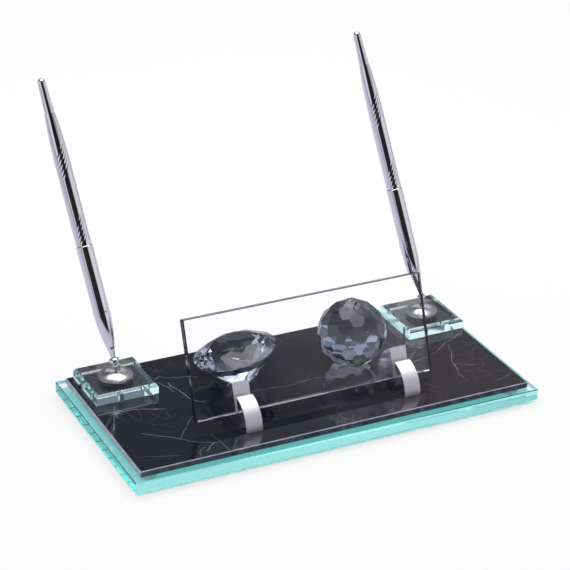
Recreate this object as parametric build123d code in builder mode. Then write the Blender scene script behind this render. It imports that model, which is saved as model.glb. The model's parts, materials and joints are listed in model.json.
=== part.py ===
from build123d import *
import os
from math import atan2, cos, degrees, radians, sin, sqrt, tan

# Desk set: a polished marble plate on a clear glass base, two pens leaning in ball sockets
# on glass blocks, a clear name plate in two slotted brackets, and a cut glass diamond and ball.
# Frame: origin on the desk, midway between the front of the base and the tips of the pens,
# X along the long side, Y towards the back, Z up. Places on the base are measured from its
# centre. Lengths are in millimetres and angles in degrees.

# Base: clear feet, glass slab and marble plate
glass_length = 250.0
glass_width = 123.0
glass_thickness = 6.6
glass_chamfer = 0.3
foot_diameter = 9.0
foot_height = 2.0
foot_inset = 12.0
foot_rounding = 0.6
marble_margin = 4.7
marble_thickness = 3.5
marble_chamfer = 0.4

# Glass blocks under the pens
block_side = 37.5
block_height = 6.6
block_chamfer = 1.6
block_rear_gap = 1.55
left_block_gap = 4.15
right_block_gap = 0.0

# Ball sockets: a trumpet flange, a liner in its cup and a collar on a ball
flange_diameter = 20.1
flange_rim = 1.0
flange_flare = 4.6
neck_diameter = 5.6
neck_taper = 0.2
pivot_height = 7.0
cup_lip = 0.5
cup_diameter = 4.86
liner_depth = 2.47
ball_diameter = 4.0
socket_clearance = 0.03
stem_diameter = 2.9
collar_diameter = 6.3
collar_underside = 1.8
collar_skirt = 1.1
collar_top = 4.4
collar_dome_lean = 14.0
collar_break = 0.2

# Pens
pen_lean = 22.5
left_pen_turn = 105.2
right_pen_turn = 106.0
nose_depth = 1.6
nose_length = 6.6
nose_end_diameter = 1.6
nose_seam_diameter = 3.9
nose_clearance = 0.15
spigot_length = 4.0
spigot_diameter = 3.1
lower_barrel_length = 61.1
lower_barrel_diameter = 9.5
shoulder_length = 22.0
seam_chamfer = 0.25
barrel_bore_setback = 3.0
barrel_bore_diameter = 7.8
barrel_bore_cone = 2.0
upper_barrel_length = 76.6
upper_barrel_diameter = 8.9
upper_taper_length = 29.7
upper_solid_length = 24.7
tail_length = 20.1
tail_seam_diameter = 6.0
tail_groove = 0.4
tail_rounding_length = 2.2
tail_rounding_diameter = 4.4
tail_spigot_length = 6.0
tail_spigot_diameter = 3.0
fixed_clearance = 0.02
turning_clearance = 0.05

# Inside each pen: sleeve, twist cam, plunger and refill
sleeve_reach = 8.0
sleeve_bore = 6.4
cam_setback = 7.4
cam_length = 21.0
cam_bore = 3.9
cam_end_wall = 2.0
plunger_length = 18.0
plunger_head_start = 12.0
plunger_head_length = 4.0
plunger_head_clearance = 0.1
refill_overrun = 1.9
refill_diameter = 3.1
refill_clearance = 0.2
refill_neck_diameter = 2.3
refill_neck_length = 8.3
refill_neck_overrun = 1.0
refill_point_diameter = 0.84
refill_point_reach = 2.9
point_clearance = 0.08
point_well = 0.5

# Name plate and its brackets
plate_width = 147.7
plate_height = 57.3
plate_thickness = 5.0
plate_chamfer = 0.5
plate_lean = 19.6
plate_centre_x = -2.9
plate_foot_y = -32.3
plate_foot_height = 7.0
slot_clearance = 0.15
seat_clearance = 0.1
bracket_width = 10.0
left_bracket_x = -47.0
right_bracket_x = 52.2
bracket_reach = 11.2
front_arc_radius = 15.7
rear_arc_radius = 23.5
rear_arc_centre = 11.6
bracket_edge_break = 0.3

# Countersunk screws that come up from under the marble
screw_diameter = 3.0
screw_head_diameter = 5.6
screw_head_angle = 90.0
screw_clearance = 0.05
through_clearance = 0.25
socket_screw_length = 12.0
bracket_screw_length = 8.0
screw_end_gap = 0.5
bracket_screw_front = 7.0
bracket_screw_rear = 27.5

# Cut glass diamond, tipped back on a flat that is cut level with the marble
diamond_x = -32.0
diamond_y = 17.7
diamond_girdle_height = 17.6
diamond_tilt = 14.0
diamond_tilt_turn = 142.0
diamond_turn = 10.0
girdle_diameter = 49.0
girdle_band = 1.2
table_diameter = 26.0
crown_height = 5.7
star_slope = 15.0
upper_girdle_slope = 31.0
pavilion_slope = 45.0
lower_girdle_slope = 47.0
diamond_mains = 8

# Cut glass ball, tipped so that it stands on one facet of its last row; each row of facets
# has its latitude, its number of facets and the turn of the first one
ball_x = 37.9
ball_y = 7.3
ball_size = 40.3
ball_facet_share = 0.975
ball_lean_turn = 160.0
ball_last_latitude = 62.0
ball_rows = (
    (0.0, 12, 0.0),
    (20.0, 12, 15.0),
    (-20.0, 12, 15.0),
    (40.0, 12, 0.0),
    (-40.0, 12, 0.0),
    (ball_last_latitude, 8, 22.5),
    (-ball_last_latitude, 8, 0.0),
)

# Heights and directions that follow from the sizes above
glass_bottom = foot_height
glass_top = glass_bottom + glass_thickness
marble_top = glass_top + marble_thickness
marble_length = glass_length - 2 * marble_margin
marble_width = glass_width - 2 * marble_margin
block_top = marble_top + block_height
block_y = marble_width / 2 - block_rear_gap - block_side / 2
left_block_x = -(marble_length / 2 - left_block_gap - block_side / 2)
right_block_x = marble_length / 2 - right_block_gap - block_side / 2
pivot_z = block_top + pivot_height
nose_seam = nose_length - nose_depth
middle_seam = nose_seam + lower_barrel_length
tail_seam = middle_seam + upper_barrel_length
pen_end = tail_seam + tail_length
spigot_end = nose_seam + spigot_length
refill_neck_end = spigot_end + refill_neck_overrun
refill_neck_start = refill_neck_end - refill_neck_length
refill_point_end = -nose_depth - refill_point_reach
refill_end = middle_seam + refill_overrun
pen_overhang = (collar_top + pen_end) * sin(radians(pen_lean)) * sin(radians(left_pen_turn))
base_y = (glass_width / 2 - block_y - pen_overhang) / 2
socket_y = base_y + block_y
up = Vector(0, 0, 1)
plate_front = Vector(0, -cos(radians(plate_lean)), sin(radians(plate_lean)))
bracket_front_y = base_y + plate_foot_y - bracket_reach
slot_width = plate_thickness + 2 * slot_clearance
stations = (
    ("left", left_block_x, left_pen_turn),
    ("right", right_block_x, right_pen_turn),
)
bracket_screw_spots = [
    (x, bracket_front_y + depth)
    for x in (left_bracket_x, right_bracket_x)
    for depth in (bracket_screw_front, bracket_screw_rear)
]
socket_screw_spots = [(x, socket_y) for _, x, _ in stations]

os.makedirs("parts", exist_ok=True)


def save(piece, name):
    """Label a finished piece and write it as one STEP file."""
    piece.label = name
    export_step(piece, f"parts/{name}.step")


def axial_plane(origin, direction):
    """Plane for a turned profile: X is the radius and Y runs along the axis."""
    outward = Vector(1, 0, 0) if direction == up else up.cross(direction).normalized()
    return Plane(origin=origin, x_dir=outward, z_dir=outward.cross(direction))


def lean_direction(turn):
    """Unit vector of a pen that leans towards the given turn about the vertical."""
    side = sin(radians(pen_lean))
    return Vector(side * cos(radians(turn)), side * sin(radians(turn)), cos(radians(pen_lean)))


def turned(plane, corners):
    """Add a piece turned about the plane's Y axis from straight-sided corners."""
    with BuildSketch(plane) as outline:
        with BuildLine():
            Polyline(*corners, close=True)
        make_face()
    revolve(outline.sketch, axis=Axis(plane.origin, plane.y_dir))


def cut_facet(setting, azimuth, slope, radius, height):
    """Cut one facet: the plane through (radius, height) that slopes down outwards."""
    turn = radians(azimuth)
    tip = radians(slope)
    outward = setting.x_dir * cos(turn) + setting.y_dir * sin(turn)
    point = setting.origin + outward * radius + setting.z_dir * height
    normal = outward * sin(tip) + setting.z_dir * cos(tip)
    split(bisect_by=Plane(origin=point, z_dir=normal), keep=Keep.BOTTOM)


# Glass base
with BuildPart() as base_glass:
    with BuildSketch(Plane((0, base_y, glass_bottom))):
        Rectangle(glass_length, glass_width)
    extrude(amount=glass_thickness)
    chamfer(base_glass.edges(), glass_chamfer)
save(base_glass.part, "base_glass")

# Four clear bumper feet
with BuildPart() as base_feet:
    with BuildSketch(Plane((0, base_y, 0))):
        with GridLocations(glass_length - 2 * foot_inset, glass_width - 2 * foot_inset, 2, 2):
            Circle(foot_diameter / 2)
    extrude(amount=foot_height)
    fillet(base_feet.edges().group_by(Axis.Z)[0], foot_rounding)
save(base_feet.part, "base_feet")

# Marble plate, drilled and countersunk from below
with BuildPart() as marble_plate:
    with BuildSketch(Plane((0, base_y, glass_top))):
        Rectangle(marble_length, marble_width)
    extrude(amount=marble_thickness)
    chamfer(marble_plate.edges().group_by(Axis.Z)[-1], marble_chamfer)
    underside_spots = bracket_screw_spots + socket_screw_spots
    with Locations(*[Plane((x, y, glass_top), z_dir=-up) for x, y in underside_spots]):
        CounterSinkHole(
            radius=screw_diameter / 2 + through_clearance,
            counter_sink_radius=screw_head_diameter / 2 + through_clearance,
            depth=marble_thickness,
            counter_sink_angle=screw_head_angle,
        )
save(marble_plate.part, "marble_plate")


def screw_corners(length):
    """Half outline of a countersunk screw that points up from its head."""
    shank = screw_diameter / 2
    head = screw_head_diameter / 2
    head_height = (head - shank) / tan(radians(screw_head_angle / 2))
    return (
        (0, 0),
        (head, 0),
        (shank, head_height),
        (shank, length),
        (0, length),
    )


# Screws of the pen sockets and of the brackets
with BuildPart() as socket_screws:
    for x, y in socket_screw_spots:
        turned(axial_plane((x, y, glass_top), up), screw_corners(socket_screw_length))
save(socket_screws.part, "socket_screws")

with BuildPart() as bracket_screws:
    for x, y in bracket_screw_spots:
        turned(axial_plane((x, y, glass_top), up), screw_corners(bracket_screw_length))
save(bracket_screws.part, "bracket_screws")

# Pen blocks and ball sockets
for side, block_x, pen_turn in stations:
    block_plane = Plane((block_x, socket_y, marble_top))
    with BuildPart() as pen_block:
        with BuildSketch(block_plane):
            Rectangle(block_side, block_side)
        extrude(amount=block_height)
        chamfer(pen_block.edges().group_by(Axis.Z)[-1], block_chamfer)
        with Locations(block_plane.offset(block_height)):
            Hole(screw_diameter / 2 + through_clearance, depth=block_height)
    save(pen_block.part, f"{side}_pen_block")

    flange_radius = flange_diameter / 2
    neck_radius = neck_diameter / 2
    neck_top = pivot_height + cup_lip
    neck_start = flange_rim + flange_flare
    cup_radius = cup_diameter / 2
    cup_floor = pivot_height - liner_depth - socket_clearance
    thread_radius = screw_diameter / 2 + screw_clearance
    thread_depth = socket_screw_length - marble_thickness - block_height + screw_end_gap
    flange_plane = axial_plane((block_x, socket_y, block_top), up)
    with BuildPart() as socket_flange:
        with BuildSketch(flange_plane):
            with BuildLine():
                Polyline(
                    (0, thread_depth),
                    (thread_radius, thread_depth),
                    (thread_radius, 0),
                    (flange_radius, 0),
                    (flange_radius, flange_rim),
                )
                EllipticalCenterArc(
                    (flange_radius, neck_start),
                    flange_radius - neck_radius,
                    flange_flare,
                    start_angle=180,
                    arc_size=90,
                )
                Polyline(
                    (neck_radius, neck_start),
                    (neck_radius, neck_top - neck_taper),
                    (neck_radius - neck_taper, neck_top),
                    (cup_radius, neck_top),
                    (cup_radius, cup_floor),
                    (0, cup_floor),
                    (0, thread_depth),
                )
            make_face()
        revolve(axis=Axis(flange_plane.origin, up))
    save(socket_flange.part, f"{side}_socket_flange")

    liner_radius = cup_radius - socket_clearance
    ball_seat = ball_diameter / 2 + socket_clearance
    seat_lip = sqrt(ball_seat**2 - cup_lip**2)
    pivot_plane = axial_plane((block_x, socket_y, pivot_z), up)
    with BuildPart() as socket_liner:
        with BuildSketch(pivot_plane):
            with BuildLine():
                ThreePointArc((0, -ball_seat), (ball_seat, 0), (seat_lip, cup_lip))
                Polyline(
                    (seat_lip, cup_lip),
                    (liner_radius, cup_lip),
                    (liner_radius, -liner_depth),
                    (0, -liner_depth),
                    (0, -ball_seat),
                )
            make_face()
        revolve(axis=Axis(pivot_plane.origin, up))
    save(socket_liner.part, f"{side}_socket_liner")

    pen_axis = lean_direction(pen_turn)
    tilt_plane = axial_plane((block_x, socket_y, pivot_z), pen_axis)
    ball_radius = ball_diameter / 2
    stem_radius = stem_diameter / 2
    ball_shoulder = sqrt(ball_radius**2 - stem_radius**2)
    collar_radius = collar_diameter / 2
    skirt_top = collar_underside + collar_skirt
    nose_slope = (nose_seam_diameter - nose_end_diameter) / 2 / nose_length
    nose_radius_at_collar = nose_end_diameter / 2 + nose_slope * nose_depth
    seat_height = collar_top - nose_depth - nose_clearance
    dome_start = (-sin(radians(collar_dome_lean)), cos(radians(collar_dome_lean)))
    point_bore = refill_point_diameter / 2 + socket_clearance + refill_clearance
    with BuildPart() as socket_collar:
        with BuildSketch(tilt_plane):
            with BuildLine():
                ThreePointArc((0, -ball_radius), (ball_radius, 0), (stem_radius, ball_shoulder))
                Polyline(
                    (stem_radius, ball_shoulder),
                    (stem_radius, collar_underside),
                    (collar_radius - collar_break, collar_underside),
                    (collar_radius, collar_underside + collar_break),
                    (collar_radius, skirt_top),
                )
                TangentArc(
                    (collar_radius, skirt_top),
                    (nose_radius_at_collar + nose_clearance, collar_top),
                    tangent=dome_start,
                )
                Polyline(
                    (nose_radius_at_collar + nose_clearance, collar_top),
                    (nose_end_diameter / 2 + nose_clearance, seat_height),
                    (point_bore, seat_height),
                    (point_bore, collar_top + refill_point_end - point_well),
                    (0, collar_top + refill_point_end - point_well),
                    (0, -ball_radius),
                )
            make_face()
        revolve(axis=Axis(tilt_plane.origin, pen_axis))
    save(socket_collar.part, f"{side}_socket_collar")

# Pens, with heights along each pen measured from the top of its collar
for side, block_x, pen_turn in stations:
    pen_axis = lean_direction(pen_turn)
    pen_plane = axial_plane(Vector(block_x, socket_y, pivot_z) + pen_axis * collar_top, pen_axis)
    pen_line = Axis(pen_plane.origin, pen_axis)

    point_hole = refill_point_diameter / 2 + point_clearance
    neck_hole = refill_neck_diameter / 2 + refill_clearance / 2
    with BuildPart() as pen_tip:
        turned(
            pen_plane,
            (
                (point_hole, -nose_depth),
                (nose_end_diameter / 2, -nose_depth),
                (nose_seam_diameter / 2, nose_seam),
                (spigot_diameter / 2, nose_seam),
                (spigot_diameter / 2, spigot_end),
                (neck_hole, spigot_end),
                (neck_hole, refill_neck_start - point_clearance),
                (point_hole, refill_neck_start - point_clearance),
            ),
        )
    save(pen_tip.part, f"{side}_pen_tip")

    barrel_radius = lower_barrel_diameter / 2
    spigot_hole = spigot_diameter / 2 + fixed_clearance
    refill_hole = refill_diameter / 2 + refill_clearance
    bore_radius = barrel_bore_diameter / 2
    shoulder_end = nose_seam + shoulder_length
    barrel_bore_start = shoulder_end - barrel_bore_setback
    with BuildPart() as lower_barrel:
        with BuildSketch(pen_plane):
            with BuildLine():
                TangentArc(
                    (barrel_radius, shoulder_end),
                    (nose_seam_diameter / 2, nose_seam),
                    tangent=(0, -1),
                )
                Polyline(
                    (nose_seam_diameter / 2, nose_seam),
                    (spigot_hole, nose_seam),
                    (spigot_hole, spigot_end + fixed_clearance),
                    (refill_hole, spigot_end + fixed_clearance),
                    (refill_hole, barrel_bore_start),
                    (bore_radius, barrel_bore_start + barrel_bore_cone),
                    (bore_radius, middle_seam),
                    (barrel_radius - seam_chamfer, middle_seam),
                    (barrel_radius, middle_seam - seam_chamfer),
                    (barrel_radius, shoulder_end),
                )
            make_face()
        revolve(axis=pen_line)
    save(lower_barrel.part, f"{side}_pen_lower_barrel")

    sleeve_radius = bore_radius - fixed_clearance
    with BuildPart() as pen_sleeve:
        turned(
            pen_plane,
            (
                (sleeve_bore / 2, middle_seam - sleeve_reach),
                (sleeve_radius, middle_seam - sleeve_reach),
                (sleeve_radius, middle_seam + sleeve_reach / 2),
                (sleeve_bore / 2, middle_seam + sleeve_reach / 2),
            ),
        )
    save(pen_sleeve.part, f"{side}_pen_sleeve")

    upper_radius = upper_barrel_diameter / 2
    upper_bore = sleeve_radius + turning_clearance
    tail_radius = tail_seam_diameter / 2
    tail_hole = tail_spigot_diameter / 2 + fixed_clearance
    upper_start = middle_seam + turning_clearance
    upper_taper_start = tail_seam - upper_taper_length
    upper_bore_end = tail_seam - upper_solid_length
    with BuildPart() as upper_barrel:
        with BuildSketch(pen_plane):
            with BuildLine():
                TangentArc(
                    (upper_radius, upper_taper_start),
                    (tail_radius, tail_seam),
                    tangent=(0, 1),
                )
                Polyline(
                    (tail_radius, tail_seam),
                    (tail_hole, tail_seam),
                    (tail_hole, tail_seam - tail_spigot_length - fixed_clearance),
                    (0, tail_seam - tail_spigot_length - fixed_clearance),
                    (0, upper_bore_end),
                    (upper_bore, upper_bore_end),
                    (upper_bore, upper_start),
                    (upper_radius - seam_chamfer, upper_start),
                    (upper_radius, upper_start + seam_chamfer),
                    (upper_radius, upper_taper_start),
                )
            make_face()
        revolve(axis=pen_line)
    save(upper_barrel.part, f"{side}_pen_upper_barrel")

    tail_rounding_start = pen_end - tail_rounding_length
    with BuildPart() as pen_tail:
        with BuildSketch(pen_plane):
            with BuildLine():
                Polyline(
                    (0, tail_seam - tail_spigot_length),
                    (tail_spigot_diameter / 2, tail_seam - tail_spigot_length),
                    (tail_spigot_diameter / 2, tail_seam),
                    (tail_radius - tail_groove, tail_seam),
                    (tail_radius - tail_groove, tail_seam + tail_groove),
                    (tail_radius - tail_groove / 2, tail_seam + tail_groove),
                    (tail_rounding_diameter / 2, tail_rounding_start),
                )
                TangentArc(
                    (0, pen_end),
                    (tail_rounding_diameter / 2, tail_rounding_start),
                    tangent=(1, 0),
                )
                Line((0, pen_end), (0, tail_seam - tail_spigot_length))
            make_face()
        revolve(axis=pen_line)
    save(pen_tail.part, f"{side}_pen_tail")

    cam_radius = upper_bore - fixed_clearance
    cam_start = middle_seam + cam_setback
    cam_end = cam_start + cam_length
    with BuildPart() as twist_cam:
        turned(
            pen_plane,
            (
                (cam_bore / 2, cam_start),
                (cam_radius, cam_start),
                (cam_radius, cam_end),
                (0, cam_end),
                (0, cam_end - cam_end_wall),
                (cam_bore / 2, cam_end - cam_end_wall),
            ),
        )
    save(twist_cam.part, f"{side}_pen_twist_cam")

    refill_radius = refill_diameter / 2
    head_radius = cam_bore / 2 - plunger_head_clearance
    head_start = refill_end + plunger_head_start
    with BuildPart() as pen_plunger:
        turned(
            pen_plane,
            (
                (0, refill_end),
                (refill_radius, refill_end),
                (refill_radius, head_start),
                (head_radius, head_start),
                (head_radius, head_start + plunger_head_length),
                (refill_radius, head_start + plunger_head_length),
                (refill_radius, refill_end + plunger_length),
                (0, refill_end + plunger_length),
            ),
        )
    save(pen_plunger.part, f"{side}_pen_plunger")

    point_radius = refill_point_diameter / 2
    with BuildPart() as pen_refill:
        turned(
            pen_plane,
            (
                (0, refill_point_end),
                (point_radius / 2, refill_point_end),
                (point_radius, refill_point_end + point_radius),
                (point_radius, refill_neck_start),
                (refill_neck_diameter / 2, refill_neck_start),
                (refill_neck_diameter / 2, refill_neck_end),
                (refill_radius, refill_neck_end),
                (refill_radius, refill_end),
                (0, refill_end),
            ),
        )
    save(pen_refill.part, f"{side}_pen_refill")

# Name plate
plate_foot = Vector(plate_centre_x, base_y + plate_foot_y, marble_top + plate_foot_height)
plate_plane = Plane(origin=plate_foot, x_dir=(1, 0, 0), z_dir=plate_front)
with BuildPart() as name_plate:
    with BuildSketch(plate_plane):
        Rectangle(plate_width, plate_height, align=(Align.CENTER, Align.MIN))
    extrude(amount=-plate_thickness)
    chamfer(name_plate.edges(), plate_chamfer)
save(name_plate.part, "name_plate")


def wall_meets_arc(start, arc_centre, arc_radius):
    """Point where a slot wall that rises from start reaches the bracket's arc."""
    rise = Vector(sin(radians(plate_lean)), cos(radians(plate_lean)))
    offset = start - arc_centre
    along = offset.dot(rise)
    return start + rise * (sqrt(along**2 - offset.dot(offset) + arc_radius**2) - along)


# Brackets: one profile with a low front lip, a leaning slot and a taller rear lip
slot_across = Vector(cos(radians(plate_lean)), -sin(radians(plate_lean)))
slot_front = Vector(bracket_reach, plate_foot_height) - slot_across * slot_clearance
slot_front = slot_front - Vector(sin(radians(plate_lean)), cos(radians(plate_lean))) * seat_clearance
slot_rear = slot_front + slot_across * slot_width
front_lip = wall_meets_arc(slot_front, Vector(front_arc_radius, 0), front_arc_radius)
rear_lip = wall_meets_arc(slot_rear, Vector(rear_arc_centre, 0), rear_arc_radius)
for side, bracket_x in (("left", left_bracket_x), ("right", right_bracket_x)):
    bracket_plane = Plane(
        origin=(bracket_x - bracket_width / 2, bracket_front_y, marble_top),
        x_dir=(0, 1, 0),
        z_dir=(1, 0, 0),
    )
    with BuildPart() as plate_bracket:
        with BuildSketch(bracket_plane):
            with BuildLine():
                RadiusArc((0, 0), (front_lip.X, front_lip.Y), front_arc_radius)
                Polyline(
                    (front_lip.X, front_lip.Y),
                    (slot_front.X, slot_front.Y),
                    (slot_rear.X, slot_rear.Y),
                    (rear_lip.X, rear_lip.Y),
                )
                RadiusArc(
                    (rear_lip.X, rear_lip.Y),
                    (rear_arc_centre + rear_arc_radius, 0),
                    rear_arc_radius,
                )
                Line((rear_arc_centre + rear_arc_radius, 0), (0, 0))
            make_face()
        extrude(amount=bracket_width)
        rims = plate_bracket.faces().filter_by(Axis.X).edges().filter_by(GeomType.CIRCLE)
        chamfer(rims, bracket_edge_break)
        for depth in (bracket_screw_front, bracket_screw_rear):
            with Locations(Plane((bracket_x, bracket_front_y + depth, marble_top), z_dir=-up)):
                Hole(
                    screw_diameter / 2 + screw_clearance,
                    depth=bracket_screw_length - marble_thickness + screw_end_gap,
                )
    save(plate_bracket.part, f"{side}_plate_bracket")

# Cut glass diamond
tilt = radians(diamond_tilt)
tilt_turn = radians(diamond_tilt_turn)
diamond_axis = Vector(sin(tilt) * cos(tilt_turn), sin(tilt) * sin(tilt_turn), cos(tilt))
diamond_level = Plane(
    origin=(diamond_x, base_y + diamond_y, marble_top + diamond_girdle_height),
    x_dir=up.cross(diamond_axis),
    z_dir=diamond_axis,
)
girdle_radius = girdle_diameter / 2
table_radius = table_diameter / 2
half_band = girdle_band / 2
step = 360 / diamond_mains
girdle_flat = girdle_radius * cos(radians(step / 4))
table_flat = table_radius * cos(radians(step / 2))
table_level = half_band + crown_height
main_slope = degrees(atan2(crown_height, girdle_radius - table_radius))
with BuildPart() as crystal_diamond:
    with BuildSketch(diamond_level.offset(-diamond_girdle_height - girdle_radius)):
        Circle(girdle_radius)
    extrude(amount=diamond_girdle_height + girdle_radius + table_level)
    for index in range(diamond_mains):
        main = diamond_turn + index * step
        cut_facet(diamond_level, main, main_slope, girdle_radius, half_band)
        cut_facet(diamond_level, main + step / 2, star_slope, table_flat, table_level)
        cut_facet(diamond_level, main, 180 - pavilion_slope, girdle_radius, -half_band)
        for half in (main - step / 4, main + step / 4):
            cut_facet(diamond_level, half, upper_girdle_slope, girdle_flat, half_band)
            cut_facet(diamond_level, half, 180 - lower_girdle_slope, girdle_flat, -half_band)
    split(bisect_by=Plane.XY.offset(marble_top), keep=Keep.TOP)
save(crystal_diamond.part, "crystal_diamond")

# Cut glass ball: rows of flat facets about a leaning axis, and one facet at each end of it
facet_reach = ball_size / 2 * ball_facet_share
ball_side = cos(radians(ball_last_latitude))
ball_axis = Vector(
    ball_side * cos(radians(ball_lean_turn)),
    ball_side * sin(radians(ball_lean_turn)),
    sin(radians(ball_last_latitude)),
)
ball_level = Plane(
    origin=(ball_x, base_y + ball_y, marble_top + facet_reach),
    x_dir=up.cross(ball_axis),
    z_dir=ball_axis,
)
with BuildPart() as crystal_ball:
    with Locations(ball_level):
        Box(ball_size, ball_size, 2 * facet_reach)
    for latitude, count, first_turn in ball_rows:
        for index in range(count):
            azimuth = first_turn + index * 360 / count
            radius = facet_reach * cos(radians(latitude))
            height = facet_reach * sin(radians(latitude))
            cut_facet(ball_level, azimuth, 90 - latitude, radius, height)
save(crystal_ball.part, "crystal_ball")
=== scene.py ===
"""Looks of a desk set: two pens in ball sockets, a name plate and cut crystals on marble and glass."""

import json
import math

import bpy
import numpy as np
from bpy.props import FloatProperty, FloatVectorProperty, IntProperty, PointerProperty
from bpy.types import Operator, Panel, PropertyGroup
from mathutils import Matrix, Vector, noise

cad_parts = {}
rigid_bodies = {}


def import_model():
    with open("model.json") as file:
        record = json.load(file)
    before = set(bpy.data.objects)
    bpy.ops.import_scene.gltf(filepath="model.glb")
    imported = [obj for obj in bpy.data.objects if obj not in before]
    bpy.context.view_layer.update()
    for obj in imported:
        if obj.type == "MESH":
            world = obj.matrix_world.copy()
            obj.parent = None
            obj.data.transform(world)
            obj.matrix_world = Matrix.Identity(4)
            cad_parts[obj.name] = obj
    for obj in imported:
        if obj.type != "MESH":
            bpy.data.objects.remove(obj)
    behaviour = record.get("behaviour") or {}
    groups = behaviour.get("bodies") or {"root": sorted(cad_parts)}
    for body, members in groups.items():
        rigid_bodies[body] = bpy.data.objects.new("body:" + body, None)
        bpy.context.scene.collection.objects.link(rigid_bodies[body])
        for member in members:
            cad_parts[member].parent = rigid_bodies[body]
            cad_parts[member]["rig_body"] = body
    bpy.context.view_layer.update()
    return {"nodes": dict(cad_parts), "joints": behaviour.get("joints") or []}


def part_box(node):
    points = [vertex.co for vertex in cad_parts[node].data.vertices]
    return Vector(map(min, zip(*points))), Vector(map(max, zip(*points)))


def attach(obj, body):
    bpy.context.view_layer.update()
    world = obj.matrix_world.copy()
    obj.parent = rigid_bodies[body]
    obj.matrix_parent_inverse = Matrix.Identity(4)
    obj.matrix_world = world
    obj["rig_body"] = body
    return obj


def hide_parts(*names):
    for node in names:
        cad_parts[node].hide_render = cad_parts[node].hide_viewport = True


bl_info = {
    "name": "Desk Pen and Name Plate Set",
    "version": (1, 0, 0),
    "blender": (4, 5, 0),
    "location": "View3D > Sidebar > Desk Set",
    "description": "Finishes a desk set of glass, marble, chrome pens and cut crystal around its frame",
    "category": "Object",
}

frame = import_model()
NODES = frame["nodes"]
JOINTS = {joint["name"]: joint for joint in frame["joints"]}
SIDES = ("left", "right")
GLASS_LOW, GLASS_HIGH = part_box("base_glass")
BASE_CENTRE = (GLASS_LOW + GLASS_HIGH) / 2

MM = 0.001
CONTACT_GAP = 0.02 * MM  # what touches glass stands this far off, so that the glass mirrors inside
MERGE_GAP = 0.001 * MM
FACING = 0.9  # a face looks along an axis if its normal has more of it than this

# Bends below the first angle are no edge, and bends above the others show as one
FLAT_TURN = math.radians(0.2)
SMOOTH_TURN = math.radians(30)
BRACKET_SMOOTH_TURN = math.radians(20)

# How the section of a turned node is read: its skin bends by this much at a ring, a ring has a place on
# this grid, and the slopes of its faces tell whether it is on the outside and whether it ends a flat
SHARP_TURN = math.radians(25)
RING_STEP = 0.005 * MM
OUTER_SLOPE = 0.2
FLAT_SLOPE = 0.99
NECK_GAP = 0.01 * MM

# Stations along a flange's sweep and along a barrel's taper
SWEEP_STEPS = 32
TAPER_STEPS = 40

# The camera's place in the world, its turn, pitch and roll, and the width of its sensor in millimetres
CAMERA_PLACE = (-0.47045, -0.95524, 0.58847)
CAMERA_TURN = math.radians(-26.237)
CAMERA_PITCH = math.radians(26.183)
CAMERA_ROLL = math.radians(0.965)
SENSOR_WIDTH = 36.0

# Light runs far inside the slabs and crystals, so it may bounce often
INNER_BOUNCES = 28
GLOSSY_BOUNCES = 20

# The lamp's place over the floor, level directions in the room, and the seam of the floor's tint
LAMP_X, LAMP_Y = 0.1, 0.27
TOWARDS_CAMERA = (-0.449, -0.893, 0.0)
RIGHT_OF_CAMERA = (0.893, -0.449, 0.0)
TOWARDS_FLAG = (-0.208, -0.978, 0.0)
SLAB_FADE = 2 * MM

# Veins of the marble: strength, and course in millimetres from the slab's centre
VEIN_COURSES = (
    (0.7, ((-74, 34), (-70, 36), (-68, 33), (-51, 28))),
    (0.6, ((-74, 29), (-71, 23), (-70, 17))),
    (0.8, ((-69, 27), (-68, 19), (-66, 13), (-64, 4), (-59, -1))),
    (1.0, ((-110, 7), (-113, 0), (-118, -10))),
    (0.8, ((-107, 8), (-100, 7), (-83, 1))),
    (0.5, ((-72, -14), (-82, -26), (-87, -34))),
    (
        0.6,
        ((-104, -20), (-92, -29), (-83, -38), (-79, -41), (-72, -46), (-69, -45), (-68, -51), (-68, -55)),
    ),
    (0.7, ((-74, -46), (-79, -51))),
    (0.6, ((-79, -47), (-83, -50), (-84, -54))),
    (0.5, ((-69, -45), (-70, -37))),
    (0.3, ((-117, -41), (-95, -50))),
    (0.45, ((-32, 0), (-11, -3), (12, -1), (20, -6))),
    (1.0, ((72, -7), (82, -5), (89, -4), (101, 5), (113, 11), (120, 15))),
    (0.7, ((101, 2), (100, -5), (94, -16), (89, -33), (89, -41))),
    (0.4, ((94, -20), (103, -26))),
    (0.5, ((105, -47), (116, -45))),
    (0.8, ((64, 13), (68, 14), (76, 14), (81, 15))),
)
# A star of short veins: its centre, and the length and turn of each ray
BURST_CENTRE = (-109.0, 8.0)
BURST_RAYS = ((4.0, 20.0), (6.0, 75.0), (5.0, 150.0), (4.5, 205.0), (6.5, 262.0), (3.5, 320.0))
BURST_STRENGTH = 0.7
FAR_FROM_VEIN = 6.0 * MM
# How veins stray from their courses: waves per metre, the fine ones' share, and a plane of noise per axis
BROAD_WANDER = 90.0
FINE_WANDER = 320.0
FINE_SHARE = 0.6
WANDER_PLANES = (0.0, 0.7)

# Engraved lines of the pens: the middles of their groups, from the upper barrel's lower end, the radius
# that sets their lean, and the turn over which their ends fade out
GROOVE_STARTS = (6.7 * MM, 48.0 * MM)
GROOVE_RADIUS = 4.45 * MM
GROOVE_FADE = math.radians(7)
# Steps along that barrel, of which plain stretches keep one in so many, and the least radius of its
# outer wall as a share of the widest
BARREL_STEP = 0.2 * MM
PLAIN_STRIDE = 20
OUTER_SHARE = 0.92


def size_setting(name, description, default):
    return FloatProperty(name=name, description=description, default=default, unit="LENGTH")


def number_setting(name, description, default):
    return FloatProperty(name=name, description=description, default=default)


def angle_setting(name, description, degrees):
    return FloatProperty(name=name, description=description, default=math.radians(degrees), subtype="ANGLE")


def colour_setting(name, description, default):
    return FloatVectorProperty(name=name, description=description, default=default, subtype="COLOR")


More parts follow.
